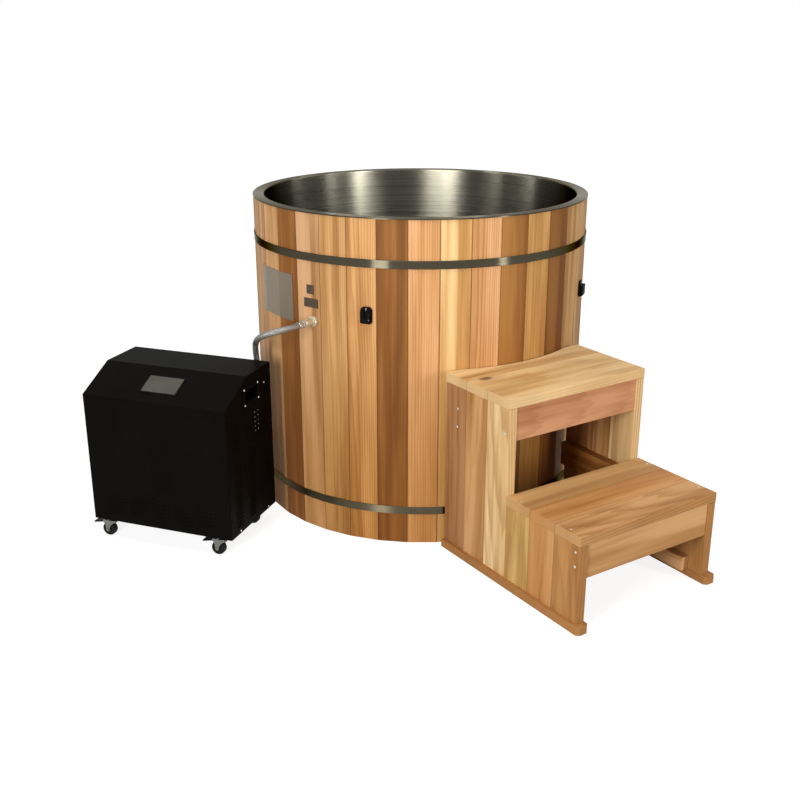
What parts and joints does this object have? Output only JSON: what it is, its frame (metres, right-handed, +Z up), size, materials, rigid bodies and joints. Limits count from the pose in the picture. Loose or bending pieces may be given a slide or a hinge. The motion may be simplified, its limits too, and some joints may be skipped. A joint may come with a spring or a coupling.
{
  "type": "cold plunge tub",
  "caption": "Round cedar cold plunge tub with a stainless steel liner and hoops, a chiller on casters joined to it by a braided hose, and a cedar step.",
  "frame": {"origin": "on the tub axis at the floor, on the underside of the middle base bearer", "axes": "+Z up along the tub axis, -Y from the tub out over the step, +X to the right of someone who climbs the step"},
  "size_m": [1.5249, 1.5324, 0.92],
  "materials": {
    "cedar": "clear oiled western red cedar",
    "pale_cedar": "clear oiled pale cedar",
    "stainless": "brushed",
    "dark_metal": "dark oxidised plate",
    "brass": "dull nickelled brass",
    "chrome": "polished",
    "braid": "stainless wire braid over rubber",
    "black_steel": "black powder coat",
    "black_plastic": "moulded",
    "zinc": "zinc plated",
    "screen": "dark glass touch panel",
    "coil": "finned coil"
  },
  "bodies": {
    "tub": {"stave_panel_1": "cedar", "stave_panel_2": "cedar", "stave_panel_3": "cedar", "stave_panel_4": "cedar", "base_boards": "cedar", "base_bearers": "cedar", "side_panel_left": "cedar", "side_panel_right": "cedar", "runner_left": "cedar", "runner_right": "cedar", "low_cleat_left": "cedar", "low_cleat_right": "cedar", "mid_cleat_left": "cedar", "mid_cleat_right": "cedar", "upper_apron": "cedar", "lower_apron": "cedar", "upper_back_rail": "cedar", "upper_tread": "pale_cedar", "lower_tread": "pale_cedar", "tub_liner": "stainless", "hoop_upper": "stainless", "hoop_lower": "stainless", "label_plate": "stainless", "tag_small": "dark_metal", "tag_wide": "dark_metal", "inlet_bulkhead": "brass", "inlet_nut": "brass", "outlet_bulkhead": "brass", "drain_valve_body": "brass", "port_block": "brass", "inlet_ferrule": "chrome", "return_hose": "braid", "chiller_cover": "black_steel", "chiller_panel_left": "black_steel", "chiller_panel_right": "black_steel", "chiller_back": "black_steel", "chiller_base_pan": "black_steel", "compressor": "black_steel", "latch_1": "black_plastic", "latch_2": "black_plastic", "latch_3": "black_plastic", "latch_4": "black_plastic", "handle_left": "black_plastic", "handle_right": "black_plastic", "mains_inlet": "black_plastic", "heat_exchanger": "black_plastic", "touchscreen": "screen", "condenser": "coil"},
    "caster_front_left": {"caster_fork_front_left": "zinc"},
    "wheel_front_left": {"caster_wheel_front_left": "black_plastic"},
    "caster_front_right": {"caster_fork_front_right": "zinc"},
    "wheel_front_right": {"caster_wheel_front_right": "black_plastic"},
    "caster_back_left": {"caster_fork_back_left": "zinc"},
    "wheel_back_left": {"caster_wheel_back_left": "black_plastic"},
    "caster_back_right": {"caster_fork_back_right": "zinc"},
    "wheel_back_right": {"caster_wheel_back_right": "black_plastic"},
    "pedal_front_left": {"brake_pedal_front_left": "black_plastic"},
    "pedal_front_right": {"brake_pedal_front_right": "black_plastic"},
    "fan": {"fan_rotor": "black_plastic"},
    "drain_handle": {"drain_lever": "stainless"}
  },
  "joints": [
    {"name": "swivel_front_left", "type": "hinge", "parent": "tub", "child": "caster_front_left", "pos_m": [-0.97786, 0.10984, 0.054], "axis": [0, 0, 1], "continuous": true},
    {"name": "roll_front_left", "type": "hinge", "parent": "caster_front_left", "child": "wheel_front_left", "pos_m": [-0.9881, 0.12341, 0.02], "axis": [0.7983, 0.6022, 0], "continuous": true},
    {"name": "swivel_front_right", "type": "hinge", "parent": "tub", "child": "caster_front_right", "pos_m": [-0.76527, -0.17197, 0.054], "axis": [0, 0, 1], "continuous": true},
    {"name": "roll_front_right", "type": "hinge", "parent": "caster_front_right", "child": "wheel_front_right", "pos_m": [-0.77551, -0.1584, 0.02], "axis": [0.7983, 0.6022, 0], "continuous": true},
    {"name": "swivel_back_left", "type": "hinge", "parent": "tub", "child": "caster_back_left", "pos_m": [-0.8134, 0.2339, 0.054], "axis": [0, 0, 1], "continuous": true},
    {"name": "roll_back_left", "type": "hinge", "parent": "caster_back_left", "child": "wheel_back_left", "pos_m": [-0.82364, 0.24747, 0.02], "axis": [0.7983, 0.6022, 0], "continuous": true},
    {"name": "swivel_back_right", "type": "hinge", "parent": "tub", "child": "caster_back_right", "pos_m": [-0.60082, -0.04791, 0.054], "axis": [0, 0, 1], "continuous": true},
    {"name": "roll_back_right", "type": "hinge", "parent": "caster_back_right", "child": "wheel_back_right", "pos_m": [-0.61105, -0.03434, 0.02], "axis": [0.7983, 0.6022, 0], "continuous": true},
    {"name": "brake_front_left", "type": "hinge", "parent": "caster_front_left", "child": "pedal_front_left", "pos_m": [-0.99472, 0.13219, 0.0445], "axis": [-0.7983, -0.6022, 0], "range_deg": [0, 16]},
    {"name": "brake_front_right", "type": "hinge", "parent": "caster_front_right", "child": "pedal_front_right", "pos_m": [-0.78213, -0.14961, 0.0445], "axis": [-0.7983, -0.6022, 0], "range_deg": [0, 16]},
    {"name": "fan_spin", "type": "hinge", "parent": "tub", "child": "fan", "pos_m": [-0.85588, 0.11918, 0.205], "axis": [0.6022, -0.7983, 0], "continuous": true},
    {"name": "drain_turn", "type": "hinge", "parent": "tub", "child": "drain_handle", "pos_m": [0.24974, 0.46772, 0.166], "axis": [0, 0, -1], "range_deg": [0, 90]}
  ]
}
